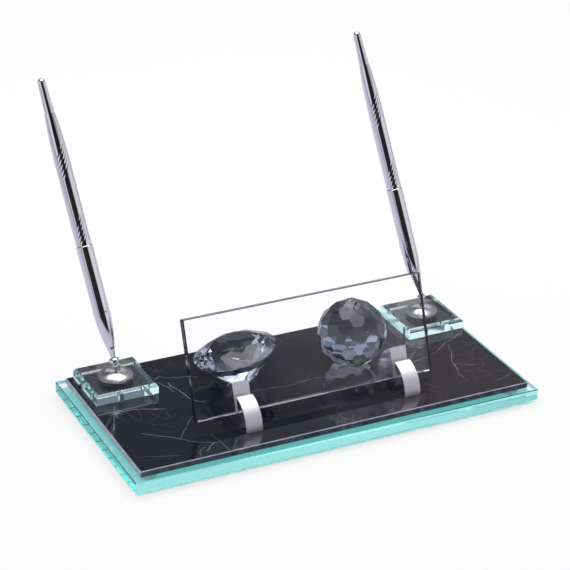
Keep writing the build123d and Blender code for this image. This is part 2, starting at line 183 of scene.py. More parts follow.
class StageSettings(PropertyGroup):
    """Floor, lamp and camera of the studio."""

    floor_size: size_setting("Floor Size", "Side of the square floor", 12.0)
    floor_glow: FloatProperty(
        name="Floor Glow",
        description="Share of the floor that shows as plain white",
        default=0.62,
        min=0.0,
        max=1.0,
        subtype="FACTOR",
    )
    bright_margin: size_setting("Bright Margin", "Reach of the bright paper beside the set", 0.055)
    overhead_power: FloatProperty(
        name="Overhead Power", description="Power of the softbox above the set", default=12.0, unit="POWER"
    )
    overhead_size: size_setting("Overhead Size", "Side of the softbox above the set", 1.3)
    overhead_height: size_setting("Overhead Height", "Height of that softbox", 1.2)
    lens: FloatProperty(name="Lens", description="Focal length", default=131.04, unit="CAMERA")


class RoomSettings(PropertyGroup):
    """Brightness of the room that the set mirrors."""

    backdrop: number_setting("Backdrop", "Where the room is looked at straight", 0.92)
    plain: number_setting("Plain", "Level that is there all round", 0.08)
    right: number_setting("Right", "More of it behind the set, on its right", 0.26)
    ceiling: number_setting("Ceiling", "More of it overhead", 0.7)
    horizon: number_setting("Horizon", "More of it low behind the set", 0.35)
    flanks: number_setting("Flanks", "More of it beside and before the set", 0.75)
    flag: number_setting("Flag", "How much of that the dark flag before the set takes away", 0.97)
    strips: number_setting("Strips", "More of it before and behind, for light deep inside the glass", 0.8)
    lamps: number_setting("Lamps", "More of it in small patches overhead, seen through glass", 1.5)


class GlassSettings(PropertyGroup):
    """Clear glass and crystal."""

    base_tint: colour_setting("Slab Tint", "Colour that thick slab glass lets through", (0.19, 0.865, 0.83))
    base_density: number_setting("Slab Density", "How fast slab glass takes its tint, per metre", 9.5)
    plate_tint: colour_setting("Plate Tint", "Colour that the name plate lets through", (0.30, 0.40, 0.42))
    plate_density: number_setting("Plate Density", "How fast the plate takes its tint, per metre", 3.0)
    glass_ior: number_setting("Glass IOR", "Index of refraction of the slabs and the plate", 1.52)
    crystal_tint: colour_setting("Crystal Tint", "Colour that cut crystal lets through", (0.10, 0.12, 0.28))
    crystal_density: number_setting("Crystal Density", "How fast crystal takes its tint, per metre", 22.0)
    crystal_colour: colour_setting("Crystal Colour", "Colour that each facet adds", (0.78, 0.78, 0.86))
    crystal_ior: number_setting("Crystal IOR", "Index of refraction of the cut crystals", 1.58)


class MarbleSettings(PropertyGroup):
    """Polished dark marble with pale veins."""

    cool_colour: colour_setting("Cool Ground", "Blue-black ground of the stone", (0.012, 0.013, 0.021))
    warm_colour: colour_setting("Warm Ground", "Grey-brown ground of the stone", (0.035, 0.030, 0.034))
    vein_colour: colour_setting("Vein", "Colour of the veins", (0.55, 0.55, 0.66))
    chamfer: size_setting("Chamfer", "Break of the upper edge", 0.4 * MM)
    cell: size_setting("Cell", "Grid step of the veined face", 0.55 * MM)
    vein_width: size_setting("Vein Width", "Half width of a strong vein", 0.24 * MM)
    wander: size_setting("Vein Wander", "How far the veins stray from their course", 1.2 * MM)
    # Painted light: the ends and the chamfer are painted pale as lit, which gives the upper edge a painted
    # highlight, and the polished sides are painted dark as shaded
    end_dark: colour_setting("End, Dark", "Dark tone of the ends and the chamfer", (0.34, 0.36, 0.46))
    end_pale: colour_setting("End, Pale", "Pale tone of the ends and the chamfer", (0.52, 0.54, 0.66))
    side_dark: colour_setting("Side, Dark", "Dark tone of the polished sides", (0.035, 0.040, 0.060))
    side_pale: colour_setting("Side, Pale", "Pale tone of the polished sides", (0.09, 0.10, 0.14))


class MetalSettings(PropertyGroup):
    """Chrome, satin chrome and aluminium."""

    chrome: colour_setting("Pen Chrome", "Colour of the bright pen chrome", (0.82, 0.82, 0.87))
    satin: colour_setting("Satin Chrome", "Colour of the socket flanges and collars", (0.84, 0.82, 0.86))
    aluminium: colour_setting("Aluminium", "Colour of the plate brackets", (0.92, 0.90, 0.95))


class PenSettings(PropertyGroup):
    """Engraved lines on the pens' upper barrels."""

    turn_steps: IntProperty(name="Turn Steps", description="Faces round a turned piece", default=144)
    groove_count: IntProperty(name="Lines", description="Engraved lines in each group", default=5)
    groove_spacing: size_setting("Line Spacing", "Distance of the lines along the barrel", 2.9 * MM)
    groove_pitch: size_setting("Line Pitch", "Rise of a line in a full turn", 44.0 * MM)
    groove_width: size_setting("Line Width", "Width of a line", 0.75 * MM)
    groove_depth: size_setting("Line Depth", "Depth of a line", 0.12 * MM)
    groove_turn: angle_setting("Line Turn", "Turn at which the middle of a group lies", 55.0)
    groove_sweep: angle_setting("Line Sweep", "Part of a turn that a line covers", 98.0)


class Value:
    """An output socket of a shader tree, which Python operators turn into Math nodes."""

    def __init__(self, sheet, socket):
        self.sheet = sheet
        self.socket = socket

    def math(self, operation, *others):
        return self.sheet.add("ShaderNodeMath", {"operation": operation}, self, *others)

    def __add__(self, other):
        return self.math("ADD", other)

    __radd__ = __add__

    def __sub__(self, other):
        return self.math("SUBTRACT", other)

    def __rsub__(self, other):
        return self.sheet.add("ShaderNodeMath", {"operation": "SUBTRACT"}, other, self)

    def __mul__(self, other):
        return self.math("MULTIPLY", other)

    __rmul__ = __mul__

    def clamped(self):
        return self.sheet.add("ShaderNodeClamp", {}, self)

    def smooth(self, low, high):
        """0 below low, 1 above high and a smooth step between."""
        return self.sheet.add(
            "ShaderNodeMapRange", {"interpolation_type": "SMOOTHSTEP"}, self, low, high, 0.0, 1.0
        )

    def over(self, full, none):
        """1 below full, 0 above none and a smooth step between."""
        return 1 - self.smooth(full, none)


class Sheet:
    """A shader tree that nodes are added to."""

    def __init__(self, owner):
        owner.use_nodes = True
        self.tree = owner.node_tree
        self.tree.nodes.clear()

    def add(self, kind, settings, *values, out=0, **named):
        """Add a node, set it up, then fill its inputs in order or by name."""
        node = self.tree.nodes.new(kind)
        for key, setting in settings.items():
            setattr(node, key, setting)
        inputs = list(enumerate(values)) + [(key.replace("_", " "), value) for key, value in named.items()]
        for key, value in inputs:
            socket = node.inputs[key]
            if isinstance(value, Value):
                self.tree.links.new(value.socket, socket)
            else:
                socket.default_value = value
        return Value(self, node.outputs[out])

    def place(self, kind="Object"):
        return self.add("ShaderNodeTexCoord", {}, out=kind)

    def scaled(self, vector, factors):
        return self.add("ShaderNodeVectorMath", {"operation": "MULTIPLY"}, vector, factors)

    def part(self, vector, axis):
        return self.add("ShaderNodeSeparateXYZ", {}, vector, out=axis)

    def towards(self, vector, direction):
        """How far a vector points in a direction."""
        dot = {"operation": "DOT_PRODUCT"}
        return self.add("ShaderNodeVectorMath", dot, vector, direction, out="Value")

    def cloud(self, vector, scale, detail=3.0, roughness=0.5):
        return self.add(
            "ShaderNodeTexNoise", {}, Vector=vector, Scale=scale, Detail=detail, Roughness=roughness
        )

    def mix(self, share, first, second):
        """Colour that goes from first to second as share goes from 0 to 1."""
        node = self.tree.nodes.new("ShaderNodeMix")
        node.data_type = "RGBA"
        for name, value in (("Factor_Float", share), ("A_Color", first), ("B_Color", second)):
            socket = next(s for s in node.inputs if s.identifier == name)
            if isinstance(value, Value):
                self.tree.links.new(value.socket, socket)
            else:
                socket.default_value = value if name == "Factor_Float" else (*value, 1.0)
        return Value(self, next(s for s in node.outputs if s.identifier == "Result_Color"))

    def bump(self, height, distance, strength=1.0):
        return self.add("ShaderNodeBump", {}, Height=height, Distance=distance, Strength=strength)

    def principled(self, **sockets):
        return self.add("ShaderNodeBsdfPrincipled", {}, **sockets)

    def finish(self, surface, volume=None, kind="ShaderNodeOutputMaterial"):
        output = self.tree.nodes.new(kind)
        self.tree.links.new(surface.socket, output.inputs["Surface"])
        if volume:
            self.tree.links.new(volume.socket, output.inputs["Volume"])


def new_sheet(name):
    """A new material and the sheet of its nodes."""
    material = bpy.data.materials.new(name)
    return material, Sheet(material)


def solid(colour):
    return (*colour, 1.0)


def clear_glass(name, tint, density, ior, waviness, colour=(1.0, 1.0, 1.0)):
    """Polished glass with a tint that grows with its thickness, and a colour that each face adds."""
    material, sheet = new_sheet(name)
    place = sheet.place()
    normal = sheet.bump(sheet.cloud(place, 14.0, 1.0), waviness)
    surface = sheet.principled(
        Base_Color=solid(colour), Roughness=0.0, Transmission_Weight=1.0, IOR=ior, Normal=normal
    )
    volume = sheet.add("ShaderNodeVolumeAbsorption", {}, Color=solid(tint), Density=density)
    sheet.finish(surface, volume)
    return material


def slab_glass():
    glass = bpy.context.scene.desk_glass
    return clear_glass("slab glass", glass.base_tint, glass.base_density, glass.glass_ior, 0.004 * MM)


def plate_glass():
    glass = bpy.context.scene.desk_glass
    return clear_glass(
        "name plate glass", glass.plate_tint, glass.plate_density, glass.glass_ior, 0.002 * MM
    )


def cut_crystal():
    glass = bpy.context.scene.desk_glass
    return clear_glass(
        "cut crystal",
        glass.crystal_tint,
        glass.crystal_density,
        glass.crystal_ior,
        0.001 * MM,
        glass.crystal_colour,
    )


def bumper_rubber():
    """Soft clear rubber of the feet, a little cloudy."""
    material, sheet = new_sheet("clear bumper rubber")
    haze = sheet.cloud(sheet.place(), 400.0, 2.0)
    colour = sheet.mix(haze, (0.80, 0.93, 0.92), (0.90, 0.97, 0.97))
    surface = sheet.principled(
        Base_Color=colour, Roughness=haze * 0.1 + 0.35, Transmission_Weight=0.5, IOR=1.45
    )
    sheet.finish(surface)
    return material


def polished_marble():
    """Dark stone with painted veins, clouds and a fine crackle under a high polish."""
    stone = bpy.context.scene.desk_marble
    material, sheet = new_sheet("polished dark marble")
    place = sheet.place()

    # The ground turns warmer towards the right, in clouds
    cloud = sheet.cloud(place, 16.0, 5.0, 0.6)
    warmth = (sheet.part(place, "X") * 5.0 + 0.45 + (cloud - 0.5) * 1.6).smooth(0.2, 1.0)
    ground = sheet.mix(warmth, stone.cool_colour, stone.warm_colour)

    drift = sheet.add("ShaderNodeTexNoise", {}, Vector=place, Scale=30.0, Detail=4.0, out="Color")
    shift = {"operation": "MULTIPLY_ADD"}
    bent = sheet.add("ShaderNodeVectorMath", shift, drift, (0.02, 0.02, 0.02), place)
    crack = sheet.add("ShaderNodeTexVoronoi", {"feature": "DISTANCE_TO_EDGE"}, Vector=bent, Scale=110.0)
    crackle = crack.over(0.004, 0.028) * sheet.cloud(place, 24.0, 2.0).smooth(0.52, 0.70)

    # The attribute holds a vein's strength, and the gap to it without and with its side
    veins = sheet.add("ShaderNodeAttribute", {"attribute_name": "veins"}, out="Color")
    widths = FAR_FROM_VEIN / stone.vein_width
    strength = sheet.add("ShaderNodeSeparateColor", {}, veins, out="Red")
    gap = sheet.add("ShaderNodeSeparateColor", {}, veins, out="Green") * widths
    offset = sheet.add("ShaderNodeSeparateColor", {}, veins, out="Blue") * widths
    grain = sheet.cloud(place, 420.0, 3.0, 0.7)
    core = (offset.math("ABSOLUTE") + (grain - 0.5) * 1.6).over(0.1, 1.0) * gap.over(2.5, 3.5)
    fade = sheet.cloud(place, 110.0, 2.0).smooth(0.30, 0.62) * 0.75 + 0.25
    line = core * strength * fade * (grain * 1.9).clamped()
    halo = gap.over(0.0, 9.0) * strength * sheet.cloud(place, 60.0, 3.0).smooth(0.45, 0.75)

    shown = (line + halo * 0.08 + crackle * 0.10).clamped()
    colour = sheet.mix(shown, ground, stone.vein_colour)
    rough = sheet.cloud(place, 120.0, 2.0) * 0.03 + 0.02 + line * 0.08
    normal = sheet.bump(sheet.cloud(place, 40.0, 1.0), 0.004 * MM)
    sheet.finish(sheet.principled(Base_Color=colour, Roughness=rough, IOR=1.52, Normal=normal))
    return material


def painted_light_and_shade_edge(name, dark, pale):
    """Edge of the marble plate, mottled from a dark to a pale tone; the tones given hold painted light and
    shade.
    """
    material, sheet = new_sheet(name)
    grain = sheet.cloud(sheet.place(), 180.0, 4.0, 0.6)
    colour = sheet.mix(grain.smooth(0.3, 0.7), dark, pale)
    sheet.finish(sheet.principled(Base_Color=colour, Roughness=grain * 0.2 + 0.15, IOR=1.52))
    return material


def painted_dark_edge():
    """Polished edge of the name plate, painted near black with grey blots: a painted dark reflection of the
    surroundings, with painted pale glints.
    """
    material, sheet = new_sheet("plate edge with painted dark reflection")
    blot = sheet.cloud(sheet.place(), 160.0, 3.0, 0.7)
    colour = sheet.mix(blot.smooth(0.62, 0.74), (0.012, 0.012, 0.018), (0.35, 0.36, 0.38))
    sheet.finish(sheet.principled(Base_Color=colour, Roughness=0.06, IOR=1.52))
    return material


def painted_bright_edge():
    """Lower edge of the name plate, painted near white: painted light that the edge gathers from the room.
    """
    material, sheet = new_sheet("plate edge with painted light")
    blot = sheet.cloud(sheet.place(), 60.0, 3.0, 0.7)
    colour = sheet.mix(blot.smooth(0.35, 0.55), (0.80, 0.80, 0.84), (0.98, 0.98, 0.99))
    sheet.finish(sheet.principled(Base_Color=colour, Roughness=0.5, IOR=1.52))
    return material


def metal(name, colour, roughness, spread, stretch=(1.0, 1.0, 1.0), fineness=300.0, bump=0.0):
    """Metal whose roughness and tone vary with a stretched fine noise."""
    material, sheet = new_sheet(name)
    place = sheet.scaled(sheet.place(), stretch)
    grain = sheet.cloud(place, fineness, 3.0, 0.6)
    tone = sheet.mix(grain, tuple(0.94 * c for c in colour), colour)
    sockets = {"Base_Color": tone, "Metallic": 1.0, "Roughness": grain * spread + roughness}
    if bump:
        sockets["Normal"] = sheet.bump(grain, bump)
    sheet.finish(sheet.principled(**sockets))
    return material


def moulded_nylon():
    """Off-white moulded plastic."""
    material, sheet = new_sheet("moulded nylon")
    grain = sheet.cloud(sheet.place(), 800.0, 3.0)
    colour = sheet.mix(grain, (0.72, 0.70, 0.66), (0.80, 0.78, 0.74))
    normal = sheet.bump(grain, 0.005 * MM)
    sheet.finish(sheet.principled(Base_Color=colour, Roughness=grain * 0.15 + 0.35, Normal=normal))
    return material


def floor_paper(stage):
    """White paper: plain white where it is looked at straight, with painted tinted light under the slab and
    painted dark patches seen through glass, grey in mirrors.
    """
    material, sheet = new_sheet("white studio floor")
    place = sheet.place()
    looked_at = sheet.add("ShaderNodeLightPath", {}, out="Is Camera Ray")
    mirrored = sheet.add("ShaderNodeLightPath", {}, out="Is Glossy Ray")
    passed = sheet.add("ShaderNodeLightPath", {}, out="Is Transmission Ray")
    depth = sheet.add("ShaderNodeLightPath", {}, out="Ray Depth")

    # Painted shade: dark patches on the paper, which only light that has run through several faces of glass
    # meets
    painted_dark_patches = sheet.cloud(place, 8.0, 1.0).smooth(0.50, 0.53) * 0.9
    painted_shade_share = passed * depth.smooth(3.0, 3.9) * depth.over(4.1, 5.0) * painted_dark_patches
    white = sheet.mix(sheet.cloud(place, 6.0, 2.0), (0.93, 0.93, 0.93), (0.95, 0.95, 0.95))
    paper = sheet.mix(mirrored, white, (0.66, 0.64, 0.76))
    lit = sheet.add("ShaderNodeBsdfDiffuse", {}, Color=sheet.mix(painted_shade_share, paper, (0.10, 0.11, 0.17)))

    half = (GLASS_HIGH - GLASS_LOW) / 2
    margin = stage.bright_margin
    across = sheet.part(place, "X").math("ABSOLUTE")
    along = (sheet.part(place, "Y") - BASE_CENTRE.y).math("ABSOLUTE")
    beside = across.smooth(half.x - SLAB_FADE, half.x)
    outside = (beside + along.smooth(half.y - SLAB_FADE, half.y)).clamped()
    near_x = across.over(half.x + margin, half.x + 2 * margin)
    near_y = along.over(half.y + margin, half.y + 2 * margin)
    # Under the slab the glow takes the slab glass's tint: painted light that has come through the glass
    tone = sheet.mix(outside, bpy.context.scene.desk_glass.base_tint, (1.0, 1.0, 1.0))
    glow = sheet.add("ShaderNodeEmission", {}, Color=tone, Strength=passed * 0.3 + 1.0)
    reached = (looked_at + passed * near_x * near_y).clamped() * (1 - painted_shade_share)
    share = reached * (outside * 0.3 + 0.7) * stage.floor_glow
    sheet.finish(sheet.add("ShaderNodeMixShader", {}, share, lit, glow))
    return material


def dress(node, material):
    """Give a frame node its material."""
    mesh = NODES[node].data
    mesh.materials.clear()
    mesh.materials.append(material)


def pick(piece):
    """Select one piece alone."""
    bpy.ops.object.select_all(action="DESELECT")
    piece.select_set(True)
    bpy.context.view_layer.objects.active = piece


def finish_piece(piece, name, material, node, smooth_angle=None):
    """Name a new piece, give it its material, and let it stand for a frame node."""
    piece.name = name
    piece.data.name = name
    piece.data.materials.clear()
    piece.data.materials.append(material)
    pick(piece)
    if smooth_angle:
        bpy.ops.object.shade_smooth_by_angle(angle=smooth_angle)
    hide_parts(node)
    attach(piece, NODES[node]["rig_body"])
    return piece


def upright(node):
    """Matrix of the vertical axis through a node's middle, from its underside."""
    low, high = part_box(node)
    return Matrix.Translation(((low.x + high.x) / 2, (low.y + high.y) / 2, low.z))


def pen_place(side):
    """Matrix of a pen's axis, with its origin at the ball of its socket."""
    joint = JOINTS[f"{side}_pen_twist"]
    axis = Vector(joint["axis"]).normalized()
    outward = Vector((0, 0, 1)).cross(axis).normalized()
    turn = Matrix((outward, axis.cross(outward), axis)).transposed().to_4x4()
    return Matrix.Translation(Vector(joint["pos_m"])) @ turn


def sharp_rings(node, place):
    """Sharp rings of a turned node, as (radius, height) on a grid: is each outside, does it end a flat."""
    back = place.inverted()
    corners = {}
    mesh = NODES[node].data
    for face in mesh.polygons:
        normal = back.to_3x3() @ face.normal
        for index in face.vertices:
            spot = back @ mesh.vertices[index].co
            key = tuple(round(c / MERGE_GAP) for c in spot)
            corners.setdefault(key, []).append(normal)
    rings = {}
    for key, normals in corners.items():
        if min(normals[0].dot(normal) for normal in normals) > math.cos(SHARP_TURN):
            continue
        spot = Vector(key) * MERGE_GAP
        radius = math.hypot(spot.x, spot.y)
        ring = (round(radius / RING_STEP), round(spot.z / RING_STEP))
        outward = max((n.x * spot.x + n.y * spot.y) / radius for n in normals)
        upward = max(abs(n.z) for n in normals)
        outer, flat = rings.get(ring, (False, False))
        rings[ring] = (outer or outward > OUTER_SLOPE, flat or upward > FLAT_SLOPE)
    return rings


def ring_line(rings):
    """Rings from low to high, each the one of its level whose radius is nearest to the last."""
    line = []
    rest = sorted(rings, key=lambda ring: ring[1])
    while rest:
        level = [ring for ring in rest if ring[1] <= rest[0][1]]
        last = line[-1][0] if line else 0
        ring = min(level, key=lambda ring: abs(ring[0] - last))
        line.append(ring)
        rest.remove(ring)
    return [(radius * RING_STEP, height * RING_STEP) for radius, height in line]


def turned_rings(node, place):
    """Half section of a turned node as (radius, height) corners: its outer skin, and its inner one."""
    rings = sharp_rings(node, place)
    outside = []
    inside = []
    for (radius, height), (outer, flat) in rings.items():
        side = outside if outer else inside
        side.append((radius, height))
        # A flat with no second ring runs in to the axis
        if flat and not any(h == height and r != radius for r, h in rings):
            side.append((0, height))
    return ring_line(outside), ring_line(inside)


def widest_run(node, place):
    """Greatest radius of a turned node, and the heights between which it keeps it."""
    back = place.inverted()
    spots = [back @ vertex.co for vertex in NODES[node].data.vertices]
    widest = max(math.hypot(spot.x, spot.y) for spot in spots)
    run = [spot.z for spot in spots if math.hypot(spot.x, spot.y) > widest - MERGE_GAP]
    return widest, min(run), max(run)


def tapered(start, end):
    """Stations from start to end on the circle that leaves start along the axis."""
    drop = start[0] - end[0]
    run = end[1] - start[1]
    radius = (drop**2 + run**2) / (2 * drop)
    sweep = math.asin(run / radius)
    turns = [sweep * index / TAPER_STEPS for index in range(1, TAPER_STEPS)]
    return [(start[0] - radius * (1 - math.cos(t)), start[1] + radius * math.sin(t)) for t in turns]


def lathe(corners, steps):
    """Spin a closed half section of (radius, height) corners about the Z axis."""
    corners = corners + corners[:1]
    bpy.ops.object.select_all(action="DESELECT")
    bpy.ops.mesh.primitive_plane_add(size=MM)
    piece = bpy.context.object
    bpy.ops.object.mode_set(mode="EDIT")
    bpy.ops.mesh.merge(type="CENTER")
    bpy.ops.transform.translate(value=(corners[0][0], 0, corners[0][1]))
    for (r0, z0), (r1, z1) in zip(corners, corners[1:]):
        bpy.ops.mesh.extrude_vertices_move(TRANSFORM_OT_translate={"value": (r1 - r0, 0, z1 - z0)})
    bpy.ops.mesh.select_all(action="SELECT")
    bpy.ops.mesh.spin(steps=steps, angle=math.tau, center=(0, 0, 0), axis=(0, 0, 1))
    bpy.ops.mesh.select_all(action="SELECT")
    bpy.ops.mesh.remove_doubles(threshold=MERGE_GAP)
    bpy.ops.mesh.normals_make_consistent(inside=False)
    bpy.ops.object.mode_set(mode="OBJECT")
    return piece


def settle(piece, place):
    """Move a piece to its place and put that into its mesh."""
    piece.matrix_world = place
    pick(piece)
    bpy.ops.object.transform_apply(location=True, rotation=True, scale=True)


def node_copy(node):
    """A merged copy of a frame node's mesh, with its flat faces made whole and flat shading."""
    piece = bpy.data.objects.new(node, NODES[node].data.copy())
    bpy.context.scene.collection.objects.link(piece)
    pick(piece)
    bpy.ops.mesh.customdata_custom_splitnormals_clear()
    bpy.ops.object.shade_flat()
    bpy.ops.object.mode_set(mode="EDIT")
    bpy.ops.mesh.select_all(action="SELECT")
    bpy.ops.mesh.remove_doubles(threshold=MERGE_GAP)
    bpy.ops.mesh.dissolve_limited(angle_limit=FLAT_TURN)
    bpy.ops.object.mode_set(mode="OBJECT")
    return piece


def drawn_back(node, level, shift):
    """Copy of a node whose flat faces at a level stand a hair off the glass there, which mirrors inside."""
    piece = node_copy(node)
    bpy.ops.object.mode_set(mode="EDIT")
    bpy.ops.mesh.select_all(action="DESELECT")
    bpy.ops.object.mode_set(mode="OBJECT")
    for vertex in piece.data.vertices:
        vertex.select = abs(vertex.co.z - level) < MERGE_GAP
    bpy.ops.object.mode_set(mode="EDIT")
    bpy.ops.transform.translate(value=(0, 0, shift))
    bpy.ops.object.mode_set(mode="OBJECT")
    return piece


class DESKSET_OT_stage(Operator):
    """Make the floor, the lamp, the world and the camera"""

    bl_idname = "deskset.stage"
    bl_label = "Studio Stage"

    def execute(self, context):
        scene = context.scene
        self.make_floor(scene.desk_stage)
        self.make_overhead(scene.desk_stage)
        self.make_world(scene)
        self.make_camera(scene)
        scene.view_settings.view_transform = "Standard"
        scene.cycles.max_bounces = INNER_BOUNCES
        scene.cycles.transmission_bounces = INNER_BOUNCES
        scene.cycles.glossy_bounces = GLOSSY_BOUNCES
        scene.cycles.caustics_refractive = True
        scene.cycles.caustics_reflective = True
        return {"FINISHED"}

    def make_floor(self, stage):
        bpy.ops.object.select_all(action="DESELECT")
        bpy.ops.mesh.primitive_grid_add(x_subdivisions=4, y_subdivisions=4, size=stage.floor_size)
        floor = bpy.context.object
        floor.name = "studio_floor"
        floor.data.materials.append(floor_paper(stage))

    def make_overhead(self, stage):
        bpy.ops.object.select_all(action="DESELECT")
        bpy.ops.object.light_add(type="AREA", location=(LAMP_X, LAMP_Y, stage.overhead_height))
        lamp = bpy.context.object
        lamp.name = "overhead_softbox"
        lamp.data.shape = "SQUARE"
        lamp.data.size = stage.overhead_size
        lamp.data.energy = stage.overhead_power

    def make_world(self, scene):
        """A dim room with brighter and darker parts, which shows pale where it is looked at straight."""
        room = scene.desk_room
        scene.world = bpy.data.worlds.new("studio world")
        sheet = Sheet(scene.world)
        way = sheet.place("Generated")
        rise = sheet.part(way, "Z")
        looked_at = sheet.add("ShaderNodeLightPath", {}, out="Is Camera Ray")
        passed = sheet.add("ShaderNodeLightPath", {}, out="Is Transmission Ray")
        depth = sheet.add("ShaderNodeLightPath", {}, out="Ray Depth")

        behind = sheet.towards(way, TOWARDS_CAMERA).over(-0.6, 0.0)
        right = sheet.towards(way, RIGHT_OF_CAMERA).smooth(-0.5, 0.7) * behind
        sky = room.plain + right * room.right + rise.smooth(0.6, 0.9) * room.ceiling
        horizon = rise.over(0.08, 0.24) * behind * room.horizon
        flanks = (1 - behind) * rise.over(0.2, 0.6) * room.flanks
        flag = sheet.towards(way, TOWARDS_FLAG).smooth(0.72, 0.84) * rise.over(0.5, 0.8)
        level = (sky + horizon + flanks) * (1 - flag * room.flag)

        # Strips that only light deep inside the glass meets, and lamps that all light through glass meets
        strips = sheet.part(way, "Y").math("ABSOLUTE").smooth(0.62, 0.76) * rise.over(0.55, 0.65)
        lamps = sheet.cloud(way, 3.2, 1.0).smooth(0.50, 0.53) * rise.smooth(0.48, 0.54)
        level = level + depth.smooth(5.5, 6.5) * strips * room.strips + passed * lamps * room.lamps
        backdrop = (looked_at + passed * depth.over(2.1, 2.9)).clamped()
        level = level * (1 - backdrop) + backdrop * room.backdrop
        tint = sheet.mix(rise.smooth(0.0, 0.8), (0.93, 0.93, 1.0), (0.98, 0.98, 1.0))
        light = sheet.add("ShaderNodeBackground", {}, Color=tint, Strength=level)
        sheet.finish(light, kind="ShaderNodeOutputWorld")

    def make_camera(self, scene):
        turn, pitch, roll = CAMERA_TURN, CAMERA_PITCH, CAMERA_ROLL
        right = Vector((math.cos(turn), math.sin(turn), 0))
        level_back = Vector((math.sin(turn), -math.cos(turn), 0))
        back = level_back * math.cos(pitch) + Vector((0, 0, math.sin(pitch)))
        up = back.cross(right)
        rolled_right = right * math.cos(roll) + up * math.sin(roll)
        rolled_up = up * math.cos(roll) - right * math.sin(roll)
        bpy.ops.object.select_all(action="DESELECT")
        bpy.ops.object.camera_add(location=CAMERA_PLACE)
        camera = bpy.context.object
        aim = Matrix((rolled_right, rolled_up, back)).transposed().to_4x4()
        camera.matrix_world = Matrix.Translation(camera.location) @ aim
        camera.data.sensor_fit = "HORIZONTAL"
        camera.data.sensor_width = SENSOR_WIDTH
        camera.data.lens = scene.desk_stage.lens
        scene.camera = camera


class DESKSET_OT_glass_base(Operator):
    """Finish the glass slab and make its four bumper feet"""

    bl_idname = "deskset.glass_base"
    bl_label = "Glass Base"

    def execute(self, context):
        dress("base_glass", slab_glass())
        feet = drawn_back("base_feet", GLASS_LOW.z, -CONTACT_GAP)
        finish_piece(feet, "clear_bumper_feet", bumper_rubber(), "base_feet", SMOOTH_TURN)
        return {"FINISHED"}


